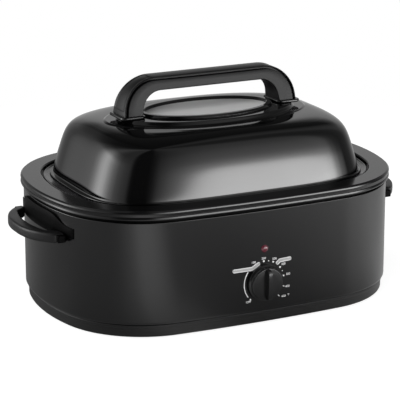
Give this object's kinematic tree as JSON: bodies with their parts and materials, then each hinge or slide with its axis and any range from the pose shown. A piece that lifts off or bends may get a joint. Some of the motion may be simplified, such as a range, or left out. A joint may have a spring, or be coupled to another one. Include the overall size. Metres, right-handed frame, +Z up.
{
  "type": "electric roaster oven",
  "caption": "Oval countertop electric roaster: heated housing with a lift-out pan and rack, a lift-off domed lid with a window and arched handle, side grips and a temperature knob.",
  "frame": {"origin": "on the table plane under the feet, below the middle of the bounding box seen from above", "axes": "+Z up, +X to the user's right along the roaster's length, -Y towards the user and the control knob"},
  "size_m": [0.626, 0.4095, 0.3465],
  "materials": {
    "black_enamel": "satin black baked paint",
    "gloss_black_enamel": "high-gloss black porcelain enamel",
    "black_moulding": "matt black heat-resistant moulding",
    "rubber": "black rubber",
    "zinc_steel": "zinc-plated steel",
    "galvanised_steel": "galvanised sheet steel",
    "bright_aluminium": "bright aluminium-coated sheet",
    "mineral_wool": "mineral-fibre blanket",
    "element_sheath": "heat-darkened sheath",
    "phenolic": "phenolic moulding",
    "brass": "plain brass",
    "red_lens": "glossy red lens",
    "lamp_glass": "clear bulb glass",
    "wire_insulation": "glass-braid insulated lead",
    "grip_moulding": "matt dark grey moulding",
    "knob_moulding": "semi-gloss black moulding",
    "pan_enamel": "dark porcelain enamel",
    "plated_wire": "plated steel wire",
    "window_glass": "tempered glass",
    "trim_steel": "stamped steel",
    "silicone": "grey silicone seal"
  },
  "bodies": {
    "housing": {"outer_shell": "black_enamel", "rim_ring": "black_enamel", "rim_spacer": "black_moulding", "base_pan": "black_moulding", "rubber_feet": "rubber", "base_posts": "zinc_steel", "well_spacers": "zinc_steel", "tie_screws": "zinc_steel", "heat_well": "galvanised_steel", "heat_shield": "bright_aluminium", "insulation_wrap": "mineral_wool", "heating_element": "element_sheath", "element_clips": "zinc_steel", "thermostat": "phenolic", "thermostat_nut": "zinc_steel", "sensing_bulb": "zinc_steel", "bulb_clip": "zinc_steel", "capillary_tube": "brass", "indicator_lens": "red_lens", "lamp_holder": "phenolic", "neon_lamp": "lamp_glass", "cord_gland": "black_moulding", "gland_nut": "zinc_steel", "terminal_block": "phenolic", "terminal_screws": "brass", "internal_wiring": "wire_insulation", "side_handle_left": "grip_moulding", "side_handle_right": "grip_moulding", "side_screws": "zinc_steel", "handle_backing": "zinc_steel"},
    "pan": {"cooking_pan": "pan_enamel"},
    "rack": {"roasting_rack": "plated_wire"},
    "lid": {"lid_shell": "gloss_black_enamel", "window_glass": "window_glass", "window_trim": "trim_steel", "window_retainer": "trim_steel", "window_seal": "silicone", "lid_handle": "grip_moulding", "handle_collars": "grip_moulding", "handle_washers": "zinc_steel", "handle_screws": "zinc_steel"},
    "knob": {"control_knob": "knob_moulding", "thermostat_shaft": "zinc_steel"}
  },
  "joints": [
    {"name": "pan_lift", "type": "slide", "parent": "housing", "child": "pan", "axis": [0, 0, 1], "range_m": [0, 0.16]},
    {"name": "lid_lift", "type": "slide", "parent": "pan", "child": "lid", "axis": [0, 0, 1], "range_m": [0, 0.16]},
    {"name": "rack_lift", "type": "slide", "parent": "pan", "child": "rack", "axis": [0, 0, 1], "range_m": [0, 0.09]},
    {"name": "knob_turn", "type": "hinge", "parent": "housing", "child": "knob", "pos_m": [0, -0.18475, 0.0655], "axis": [0, 1, 0], "range_deg": [-136, 135]}
  ]
}
